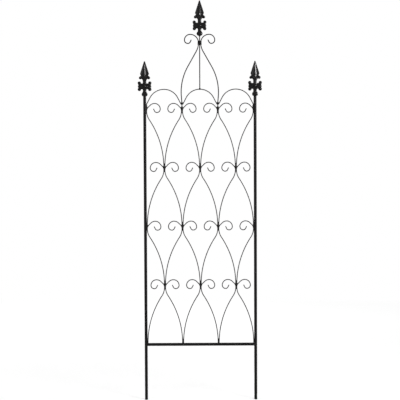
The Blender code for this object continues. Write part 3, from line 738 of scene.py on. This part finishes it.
def castingShapes():
    # the solids that the casting is fused from
    shapes = [spearHead()]
    cross = spear["cross"]
    for side in (-1, 1):
        for x, z, r in (spear["horn"], spear["lobe"]):
            shapes.append(roundBar(limbPath(side, x, z), spear["limb"], spear["limbShares"],
                                   spear["limbDepth"], spear["limbSides"], spear["limbEnds"]))
            shapes.append(ball((side * x, 0, z), r, spear["limbDepth"]))
        shapes.append(ball((side * spear["waistX"], 0, cross), spear["waistRadius"], spear["waistDepth"]))
        shapes.append(ball((0, side * spear["bossY"], cross), spear["boss"], 1.0))
        x, z, r = spear["barb"]
        path = [Vector((side * a, b)) for a, b in spear["barbKnots"]]
        shapes.append(roundBar(path, r, spear["barbShares"], spear["barbDepth"], spear["barbSides"],
                               spear["limbEnds"]))
        shapes.append(ball((side * x, 0, z), r, spear["barbDepth"]))
    neck = smoothProfile(spear["neck"], spear["knotSteps"])
    shapes.append(turned(neck, spear["neckSides"], spear["neckDepth"]))
    bulb = [(spear["bulbRadius"] * r, spear["bulbHalf"] * h) for r, h in spear["bulb"]]
    bulb = smoothProfile(bulb + [(spear["seatRadius"], 0.0), (0, 0)], spear["knotSteps"])
    shapes.append(turned(bulb, spear["bulbSides"], spear["bulbDepth"], lambda angle: (
        1 - spear["fluteDepth"] * abs(math.sin(spear["flutes"] * angle / 2)) ** spear["flutePower"])))
    return shapes


def segmentDistance(point, a, b):
    run = b - a
    t = max(0.0, min(1.0, (point - a).dot(run) / run.dot(run)))
    return (point - a - run * t).length


def bell(distance, width):
    # 1 at the middle of a groove, falling away on both sides
    return math.exp(-distance ** 2 / (2 * width ** 2))


eyes = [(Vector(spear[part][:2]), spear[part][2]) for part in ("horn", "lobe", "barb")]
strands = [limbPath(1, *eye)[1:-1] for eye, _ in eyes[:2]]


def grooveDepth(x, z):
    # a ring in every curl, a ring round the boss, a line down each side of every limb
    flat = Vector((abs(x), z))
    depth = bell((flat - Vector((0, spear["cross"]))).length - carve["bossRing"], carve["ringWidth"])
    for eye, r in eyes:
        depth = max(depth, bell((flat - eye).length - carve["curlRing"] * r, carve["ringWidth"]))
    away = min((flat - eye).length / r for eye, r in eyes)
    if away > carve["curlClear"] and flat.x > carve["lineStart"]:
        for path in strands:
            near = min(segmentDistance(flat, a, b) for a, b in zip(path, path[1:]))
            depth = max(depth, carve["lineShare"] * bell(near - carve["lineOffset"], carve["lineWidth"]))
    return depth


def reworked(mesh, *modifiers):
    # the mesh after these modifiers; the one that came in is used up
    thing = bpy.data.objects.new("casting", mesh)
    bpy.context.scene.collection.objects.link(thing)
    for kind, settings in modifiers:
        modifier = thing.modifiers.new(kind, kind)
        for key, setting in settings.items():
            setattr(modifier, key, setting)
    bpy.context.view_layer.update()
    made = bpy.data.meshes.new_from_object(thing.evaluated_get(bpy.context.evaluated_depsgraph_get()))
    bpy.data.objects.remove(thing)
    bpy.data.meshes.remove(mesh)
    return made


def castBody():
    # fused and eased, then carved, roughened a little and thinned out
    grid = spear["grid"] * 1
    cast = reworked(meshOf("casting", joined(castingShapes())),
                    ("REMESH", {"mode": "VOXEL", "voxel_size": grid}),
                    ("SMOOTH", {"factor": spear["easeFactor"], "iterations": spear["easeTimes"]}))
    top = max(v.co.z for v in cast.vertices)
    lowest, highest = spear["lobe"][1] - carve["below"], spear["barb"][1] + carve["above"]
    normals = [v.normal.copy() for v in cast.vertices]
    carved = []
    for v, normal in zip(cast.vertices, normals):
        spot = v.co.copy()
        spot.z += (spear["tip"] - top) * max(0.0, spot.z / spear["tip"]) ** spear["tipPower"]
        if lowest < spot.z < highest and abs(normal.y) > carve["facing"]:
            depth = math.copysign(carve["depth"] * grooveDepth(spot.x, spot.z), spot.y)
            spot.y -= depth * min(1.0, abs(normal.y) * carve["facingGain"])
        spot += normal * spear["skin"] * noise.noise(spot * spear["skinScale"])
        x, y = (max(-most, min(most, along)) for most, along in zip(spear["reach"], spot))
        carved += [x, y, min(spot.z, spear["tip"])]
    cast.vertices.foreach_set("co", carved)
    thin = reworked(cast, ("DECIMATE", {"ratio": spear["kept"]}))
    return [v.co.copy() for v in thin.vertices], [tuple(p.vertices) for p in thin.polygons]


castShape = castBody()
print("casting fused,", len(castShape[1]), "faces")

# what goes into a post or over the rod; both start a little inside the casting
spigot = {"length": 0.022, "inside": 0.003, "edge": 0.0008}
socket = {"length": 0.004, "inside": 0.003, "wall": 0.0013, "share": 0.9}


def spigotShape():
    r, end, inside = boreR - gapFit, -spigot["length"], spigot["inside"]
    return turned([(0, inside), (r, inside), (r, end + spigot["edge"]),
                   (boreR - 3 * gapFit, end), (0, end)])


def socketShape():
    r, end, inside = socket["share"] * spear["seatRadius"], -socket["length"], socket["inside"]
    return turned([(0, inside), (r, inside), (r, 0), (wireR + socket["wall"], end),
                   (wireR + gapFit, end), (0, 0.0)])


postSeat = postTop + gapFit
for name, x, z in (("left", -postX, postSeat), ("centre", 0, centreSeat), ("right", postX, postSeat)):
    shape = joined([castShape, spigotShape() if x else socketShape()])
    mesh = meshOf(name + "_spear", shape, (x, 0, z), sharpAngle=60)
    piece(name + "_spear", name + "_finial", "casting", mesh)
print("finials cast")

# floor and sky; a glow is what the camera sees on top of the light, a rise where it starts and is full
stage = {
    "floor": 7.0, "floorColours": ((0.60, 0.60, 0.60, 1), (0.62, 0.62, 0.62, 1)),
    "floorNoise": (2.0, 3.0, 0.5), "floorRoughness": 0.9,
    "nearGlow": 0.545, "farGlow": 0.09, "farRise": (0.8, 3.3),
    "edgeGlow": 0.10, "edgeRise": (3.2, 4.9), "skyLight": 0.38, "skySeen": 1.0,
}
black, white = (0, 0, 0, 1), (1, 1, 1, 1)


def seenDirectly(start):
    # 1 for what the camera, a reflection or glass sees, 0 for light on surfaces
    camera, glossy, through = (start.node("ShaderNodeLightPath", output=ray)
                               for ray in ("Is Camera Ray", "Is Glossy Ray", "Is Transmission Ray"))
    return start.maths("MAXIMUM", start.maths("MAXIMUM", camera, glossy), through)


def paleFloor():
    material = bpy.data.materials.new("paleFloor")
    start = blankTree(material)
    place = start.node("ShaderNodeTexCoord", output="Object")
    away = start.node("ShaderNodeVectorMath", {"operation": "LENGTH"}, {0: place}, "Value")
    glow = (stage["nearGlow"] + stage["farGlow"] * away.ramp(*stage["farRise"])
            + stage["edgeGlow"] * away.ramp(*stage["edgeRise"]))
    matt = start.node("ShaderNodeBsdfPrincipled", None, {
        "Base Color": place.noise(*stage["floorNoise"]).between(*stage["floorColours"]),
        "Roughness": stage["floorRoughness"], "Specular IOR Level": 0.0,
        "Emission Color": (seenDirectly(start) * glow).between(black, white), "Emission Strength": 1.0})
    matt.end("ShaderNodeOutputMaterial")
    return material


half = stage["floor"] / 2
floorMesh = bpy.data.meshes.new("floor")
corners = [(-half, -half, 0), (half, -half, 0), (half, half, 0), (-half, half, 0)]
floorMesh.from_pydata(corners, [], [(0, 1, 2, 3)])
floorMesh.materials.append(paleFloor())
floor = bpy.data.objects.new("floor", floorMesh)
bpy.context.scene.collection.objects.link(floor)

world = bpy.data.worlds.new("studio")
bpy.context.scene.world = world
start = blankTree(world)
dim = start.node("ShaderNodeBackground", None, {"Color": white, "Strength": stage["skyLight"]})
bright = start.node("ShaderNodeBackground", None, {"Color": white, "Strength": stage["skySeen"]})
sky = start.node("ShaderNodeMixShader", None, {0: seenDirectly(start), 1: dim, 2: bright})
sky.end("ShaderNodeOutputWorld")

# place, side and power of each lamp
lamps = {
    "key": ((2.2, -2.6, 2.6), 1.0, 85.0), "sheen": ((1.50, -0.28, 1.84), 0.50, 68.0),
    "fill": ((-2.4, -3.4, 2.2), 1.4, 30.0), "back": ((-1.2, 3.2, 2.6), 1.2, 34.0),
}
lampAim = Vector((0, 0, 1.2))
for name, (place, size, power) in lamps.items():
    lamp = bpy.data.lights.new(name, "AREA")
    lamp.size = size
    lamp.energy = power
    light = bpy.data.objects.new(name, lamp)
    light.location = place
    light.visible_camera = False
    light.visible_diffuse = name != "sheen"  # the sheen only shows as a reflection
    light.visible_glossy = name != "key"
    light.rotation_euler = (lampAim - Vector(place)).to_track_quat("-Z", "Y").to_euler()
    bpy.context.scene.collection.objects.link(light)

view = {"place": (-0.0013, -5.0, 1.1002), "down": 2.0925, "roll": -0.2550, "lens": 98.58, "sensor": 36.0}
lens = bpy.data.cameras.new("camera")
lens.lens = view["lens"]
lens.sensor_width = view["sensor"]
camera = bpy.data.objects.new("camera", lens)
tilt = Matrix.Rotation(math.radians(90 - view["down"]), 4, "X")
roll = Matrix.Rotation(math.radians(view["roll"]), 4, "Z")
camera.matrix_world = Matrix.Translation(view["place"]) @ tilt @ roll
bpy.context.scene.collection.objects.link(camera)
bpy.context.scene.camera = camera
bpy.context.scene.view_settings.view_transform = "Standard"
print("stage set")
